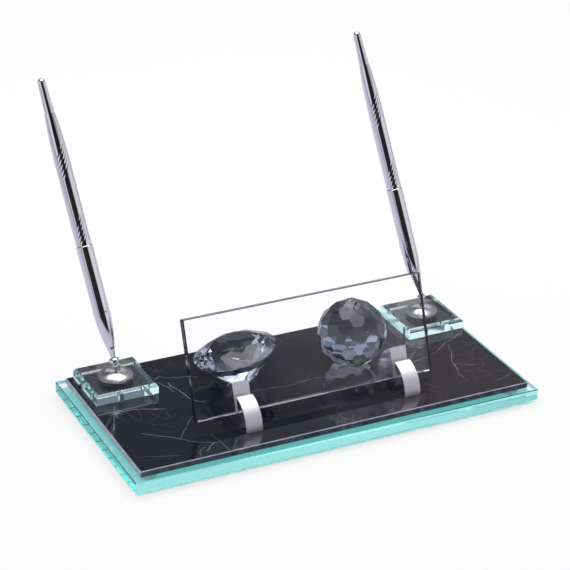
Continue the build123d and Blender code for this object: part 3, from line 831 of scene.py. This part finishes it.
class DESKSET_OT_marble_plate(Operator):
    """Model the marble plate and paint its veins"""

    bl_idname = "deskset.marble_plate"
    bl_label = "Marble Plate"

    def execute(self, context):
        stone = context.scene.desk_marble
        piece = self.make_plate(stone)
        self.paint_veins(piece.data, stone)
        finish_piece(piece, "veined_marble_plate", polished_marble(), "marble_plate")
        piece.data.materials.append(painted_light_and_shade_edge("marble end with painted light", stone.end_dark, stone.end_pale))
        piece.data.materials.append(painted_light_and_shade_edge("marble side with painted shade", stone.side_dark, stone.side_pale))
        # Painted light and shade by the way a face looks: chamfer and ends pale, sides dark
        for face in piece.data.polygons:
            chamfered = 1 - FACING < face.normal.z < FACING
            if chamfered or abs(face.normal.x) > FACING:
                face.material_index = 1
            elif abs(face.normal.y) > FACING:
                face.material_index = 2
        return {"FINISHED"}

    def make_plate(self, stone):
        low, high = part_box("marble_plate")
        length, width = high.x - low.x, high.y - low.y
        chamfer = stone.chamfer
        top = high.z - CONTACT_GAP
        depth = top - low.z - CONTACT_GAP
        inner = (length - 2 * chamfer, width - 2 * chamfer)
        bpy.ops.object.select_all(action="DESELECT")
        bpy.ops.mesh.primitive_grid_add(
            x_subdivisions=round(length / stone.cell), y_subdivisions=round(width / stone.cell), size=1
        )
        piece = bpy.context.object
        bpy.ops.object.mode_set(mode="EDIT")
        bpy.ops.transform.resize(value=(*inner, 1.0), center_override=(0, 0, 0))
        bpy.ops.mesh.region_to_loop()
        bpy.ops.mesh.extrude_edges_move(TRANSFORM_OT_translate={"value": (0, 0, -chamfer)})
        spread = (length / inner[0], width / inner[1], 1.0)
        bpy.ops.transform.resize(value=spread, center_override=(0, 0, 0))
        bpy.ops.mesh.extrude_edges_move(TRANSFORM_OT_translate={"value": (0, 0, chamfer - depth)})
        bpy.ops.mesh.edge_face_add()
        bpy.ops.mesh.select_all(action="SELECT")
        bpy.ops.mesh.normals_make_consistent(inside=False)
        bpy.ops.object.mode_set(mode="OBJECT")
        settle(piece, Matrix.Translation(((low.x + high.x) / 2, (low.y + high.y) / 2, top)))
        return piece

    def paint_veins(self, mesh, stone):
        """Give each vertex its nearest vein's strength, and the gap to it without and with its side."""
        count = len(mesh.vertices)
        spots = np.empty(count * 3, np.float64)
        mesh.vertices.foreach_get("co", spots)
        spots = spots.reshape(-1, 3)[:, :2] - np.array(BASE_CENTRE[:2])
        stray = np.array([[self.stray(x, y, plane) for plane in WANDER_PLANES] for x, y in spots])
        spots = spots + stray * stone.wander
        strengths = np.zeros(count)
        gaps = np.full(count, FAR_FROM_VEIN)
        offsets = np.full(count, FAR_FROM_VEIN)
        for strength, course in list(VEIN_COURSES) + self.burst():
            for start, end in zip(course, course[1:]):
                origin = np.array(start) * MM
                run = np.array(end) * MM - origin
                along = np.clip(((spots - origin) @ run) / (run @ run), 0.0, 1.0)
                away = spots - origin - along[:, None] * run
                gap = np.linalg.norm(away, axis=1)
                left = np.sign(run[0] * away[:, 1] - run[1] * away[:, 0])
                nearer = gap < gaps
                gaps[nearer] = gap[nearer]
                offsets[nearer] = (gap * left)[nearer]
                strengths[nearer] = strength
        far = np.full(count, FAR_FROM_VEIN)
        shares = np.stack([strengths * far, gaps, offsets, far], axis=1) / FAR_FROM_VEIN
        veins = mesh.color_attributes.new("veins", "FLOAT_COLOR", "POINT")
        veins.data.foreach_set("color", shares.astype(np.float32).ravel())

    def burst(self):
        """Courses of the star's rays."""
        courses = []
        for reach, turn in BURST_RAYS:
            across = BURST_CENTRE[0] + reach * math.cos(math.radians(turn))
            along = BURST_CENTRE[1] + reach * math.sin(math.radians(turn))
            courses.append((BURST_STRENGTH, (BURST_CENTRE, (across, along))))
        return courses

    def stray(self, x, y, plane):
        """How a vein wanders at a spot, in parts of the wander setting."""
        broad = noise.noise(Vector((x, y, plane)) * BROAD_WANDER)
        return broad + FINE_SHARE * noise.noise(Vector((x, y, plane)) * FINE_WANDER)


class DESKSET_OT_pen_blocks(Operator):
    """Finish the glass blocks under the pens"""

    bl_idname = "deskset.pen_blocks"
    bl_label = "Pen Blocks"

    def execute(self, context):
        glass = slab_glass()
        glass.name = "block glass"
        for side in SIDES:
            dress(f"{side}_pen_block", glass)
        return {"FINISHED"}


class DESKSET_OT_pen_sockets(Operator):
    """Turn the flanges of the ball sockets, and finish their collars and liners"""

    bl_idname = "deskset.pen_sockets"
    bl_label = "Pen Sockets"

    def execute(self, context):
        metals = context.scene.desk_metal
        steps = context.scene.desk_pen.turn_steps
        satin = metal("satin chrome", metals.satin, 0.20, 0.08, fineness=900.0)
        bright = metal("collar chrome", metals.satin, 0.08, 0.06, fineness=900.0)
        nylon = moulded_nylon()
        for side in SIDES:
            node = f"{side}_socket_flange"
            place = upright(node)
            piece = lathe(self.trumpet(node, place), steps)
            settle(piece, Matrix.Translation((0, 0, CONTACT_GAP)) @ place)
            finish_piece(piece, f"{side}_trumpet_flange", satin, node, SMOOTH_TURN)
            node = f"{side}_socket_collar"
            finish_piece(node_copy(node), f"{side}_domed_collar", bright, node, SMOOTH_TURN)
            dress(f"{side}_socket_liner", nylon)
        return {"FINISHED"}

    def trumpet(self, node, place):
        """Half section of a flange: rim, elliptic sweep, neck, cup and screw hole."""
        outer, inner = turned_rings(node, place)
        outer = [ring for ring in outer if ring[0] > 0]
        rim, neck = outer[1:3]
        spots = [place.inverted() @ vertex.co for vertex in NODES[node].data.vertices]
        neck_start = min(s.z for s in spots if abs(math.hypot(s.x, s.y) - neck[0]) < NECK_GAP)
        sweep = []
        for index in range(1, SWEEP_STEPS + 1):
            turn = index / SWEEP_STEPS * math.pi / 2
            radius = rim[0] - (rim[0] - neck[0]) * math.sin(turn)
            sweep.append((radius, neck_start - (neck_start - rim[1]) * math.cos(turn)))
        return outer[:2] + sweep + outer[2:] + inner[::-1]


class DESKSET_OT_pens(Operator):
    """Turn the pens and engrave their upper barrels"""

    bl_idname = "deskset.pens"
    bl_label = "Pens"

    def execute(self, context):
        pen = context.scene.desk_pen
        chrome = metal("pen chrome", context.scene.desk_metal.chrome, 0.03, 0.03, fineness=700.0)
        for side in SIDES:
            for part in ("tip", "tail"):
                node = f"{side}_pen_{part}"
                finish_piece(node_copy(node), f"{side}_chrome_{part}", chrome, node, SMOOTH_TURN)
            node = f"{side}_pen_lower_barrel"
            piece = self.lower_barrel(node, pen_place(side), pen)
            finish_piece(piece, f"{side}_chrome_lower_barrel", chrome, node, SMOOTH_TURN)
            node = f"{side}_pen_upper_barrel"
            piece = self.upper_barrel(node, pen_place(side), pen)
            finish_piece(piece, f"{side}_chrome_upper_barrel", chrome, node, SMOOTH_TURN)
        return {"FINISHED"}

    def lower_barrel(self, node, place, pen):
        """Barrel that swells from its lower end to its widest run."""
        outer, inner = turned_rings(node, place)
        wide, low, high = widest_run(node, place)
        shoulder = tapered((wide, -low), (outer[0][0], -outer[0][1]))
        shoulder = [(radius, -height) for radius, height in reversed(shoulder)]
        piece = lathe(outer[:1] + shoulder + [(wide, low)] + outer[1:] + inner[::-1], pen.turn_steps)
        settle(piece, place)
        return piece

    def upper_barrel(self, node, place, pen):
        """Barrel that narrows from its widest run to its upper end, with two groups of engraved lines."""
        outer, inner = turned_rings(node, place)
        wide, low, high = widest_run(node, place)
        groups = [outer[0][1] + start for start in GROOVE_STARTS]
        wall = outer[1:2] + [(wide, high)] + tapered((wide, high), outer[-1])
        corners = outer[:2] + self.stations(wall, groups, pen) + outer[2:] + inner[::-1]
        piece = lathe(corners, pen.turn_steps)
        self.engrave(piece.data, groups, pen)
        settle(piece, place)
        return piece

    def reach(self, pen):
        """How far a group's lines spread above and below its middle."""
        lines = (pen.groove_count - 1) * pen.groove_spacing
        return (lines + pen.groove_sweep / math.tau * pen.groove_pitch) / 2

    def stations(self, wall, groups, pen):
        """Stations along the outer wall, close together where the lines run."""
        result = []
        for (r0, z0), (r1, z1) in zip(wall, wall[1:]):
            steps = math.ceil((z1 - z0) / BARREL_STEP)
            for index in range(1, steps + 1):
                height = z0 + (z1 - z0) * index / steps
                near = any(abs(height - middle) < self.reach(pen) + MM for middle in groups)
                if near or index == steps or index % PLAIN_STRIDE == 0:
                    result.append((r0 + (r1 - r0) * index / steps, height))
        return result

    def engrave(self, mesh, groups, pen):
        """Press the helical lines into the barrel's outer wall, twice round it."""
        lean = math.atan2(pen.groove_pitch, math.tau * GROOVE_RADIUS)
        half = (pen.groove_count - 1) / 2
        widest = max(math.hypot(vertex.co.x, vertex.co.y) for vertex in mesh.vertices)
        for vertex in mesh.vertices:
            radius = math.hypot(vertex.co.x, vertex.co.y)
            if radius < OUTER_SHARE * widest:
                continue
            turn = math.atan2(vertex.co.y, vertex.co.x) - pen.groove_turn
            turn = (turn + math.pi / 2) % math.pi - math.pi / 2
            fade = min(1.0, max(0.0, (pen.groove_sweep / 2 - abs(turn)) / GROOVE_FADE))
            for middle in groups:
                height = vertex.co.z - middle - turn / math.tau * pen.groove_pitch
                line = min(half, max(-half, round(height / pen.groove_spacing + half) - half))
                gap = abs(height - line * pen.groove_spacing) * math.cos(lean)
                press = max(0.0, math.cos(min(1.0, gap / pen.groove_width) * math.pi / 2)) ** 2
                depth = pen.groove_depth * fade * press
                vertex.co.x *= 1 - depth / radius
                vertex.co.y *= 1 - depth / radius


class DESKSET_OT_name_plate(Operator):
    """Finish the clear name plate"""

    bl_idname = "deskset.name_plate"
    bl_label = "Name Plate"

    def execute(self, context):
        rise = Vector(JOINTS["name_plate_lift"]["axis"])
        piece = node_copy("name_plate")
        finish_piece(piece, "clear_name_plate", plate_glass(), "name_plate")
        piece.data.materials.append(painted_dark_edge())
        piece.data.materials.append(painted_bright_edge())
        # The side and upper edges get the painted dark reflection, the lower edge the painted light
        for face in piece.data.polygons:
            if abs(face.normal.x) > 0.5 or face.normal.dot(rise) > 0.5:
                face.material_index = 1
            elif face.normal.dot(rise) < -FACING:
                face.material_index = 2
        return {"FINISHED"}


class DESKSET_OT_brackets(Operator):
    """Make the brushed brackets that hold the name plate"""

    bl_idname = "deskset.brackets"
    bl_label = "Plate Brackets"

    def execute(self, context):
        colour = context.scene.desk_metal.aluminium
        brushed = metal("brushed aluminium", colour, 0.50, 0.10, (0.3, 1.0, 1.0), 2500.0, 0.002 * MM)
        polished = metal("polished aluminium", colour, 0.10, 0.05, fineness=1200.0)
        for side in SIDES:
            node = f"{side}_plate_bracket"
            piece = node_copy(node)
            finish_piece(piece, f"{side}_brushed_bracket", brushed, node, BRACKET_SMOOTH_TURN)
            piece.data.materials.append(polished)
            for face in piece.data.polygons:
                face.material_index = int(abs(face.normal.x) > FACING)
        return {"FINISHED"}


class DESKSET_OT_crystals(Operator):
    """Finish the cut diamond and the cut ball"""

    bl_idname = "deskset.crystals"
    bl_label = "Cut Crystals"

    def execute(self, context):
        crystal = cut_crystal()
        for node in ("crystal_diamond", "crystal_ball"):
            finish_piece(node_copy(node), f"faceted_{node}", crystal, node)
        return {"FINISHED"}


class DESKSET_OT_hidden_parts(Operator):
    """Finish the screws and what works inside the pens"""

    bl_idname = "deskset.hidden_parts"
    bl_label = "Screws and Pen Works"

    def execute(self, context):
        steel = metal("screw steel", (0.55, 0.54, 0.53), 0.22, 0.15, fineness=1500.0)
        brass = metal("drawn brass", (0.78, 0.60, 0.30), 0.22, 0.12, fineness=1200.0)
        refill = metal("refill steel", (0.70, 0.70, 0.72), 0.18, 0.12, fineness=1200.0)
        nylon = moulded_nylon()
        for node in ("socket_screws", "bracket_screws"):
            screws = drawn_back(node, GLASS_HIGH.z, CONTACT_GAP)
            finish_piece(screws, f"countersunk_{node}", steel, node, SMOOTH_TURN)
        for side in SIDES:
            dress(f"{side}_pen_sleeve", brass)
            dress(f"{side}_pen_twist_cam", brass)
            dress(f"{side}_pen_plunger", nylon)
            dress(f"{side}_pen_refill", refill)
        return {"FINISHED"}


OPERATORS = (
    DESKSET_OT_stage,
    DESKSET_OT_glass_base,
    DESKSET_OT_marble_plate,
    DESKSET_OT_pen_blocks,
    DESKSET_OT_pen_sockets,
    DESKSET_OT_pens,
    DESKSET_OT_name_plate,
    DESKSET_OT_brackets,
    DESKSET_OT_crystals,
    DESKSET_OT_hidden_parts,
)


class DESKSET_PT_panel(Panel):
    """Sidebar panel with one button for each piece"""

    bl_idname = "DESKSET_PT_panel"
    bl_label = "Desk Set"
    bl_space_type = "VIEW_3D"
    bl_region_type = "UI"
    bl_category = "Desk Set"

    def draw(self, context):
        for operator in OPERATORS:
            self.layout.operator(operator.bl_idname)


SETTINGS = (
    ("desk_stage", StageSettings),
    ("desk_room", RoomSettings),
    ("desk_glass", GlassSettings),
    ("desk_marble", MarbleSettings),
    ("desk_metal", MetalSettings),
    ("desk_pen", PenSettings),
)


def register():
    for name, group in SETTINGS:
        bpy.utils.register_class(group)
        setattr(bpy.types.Scene, name, PointerProperty(type=group))
    for operator in OPERATORS:
        bpy.utils.register_class(operator)
    bpy.utils.register_class(DESKSET_PT_panel)


def unregister():
    bpy.utils.unregister_class(DESKSET_PT_panel)
    for operator in reversed(OPERATORS):
        bpy.utils.unregister_class(operator)
    for name, group in reversed(SETTINGS):
        delattr(bpy.types.Scene, name)
        bpy.utils.unregister_class(group)


def main():
    """Make every piece."""
    register()
    bpy.ops.deskset.stage()
    bpy.ops.deskset.glass_base()
    bpy.ops.deskset.marble_plate()
    bpy.ops.deskset.pen_blocks()
    bpy.ops.deskset.pen_sockets()
    bpy.ops.deskset.pens()
    bpy.ops.deskset.name_plate()
    bpy.ops.deskset.brackets()
    bpy.ops.deskset.crystals()
    bpy.ops.deskset.hidden_parts()


if __name__ == "__main__":
    main()
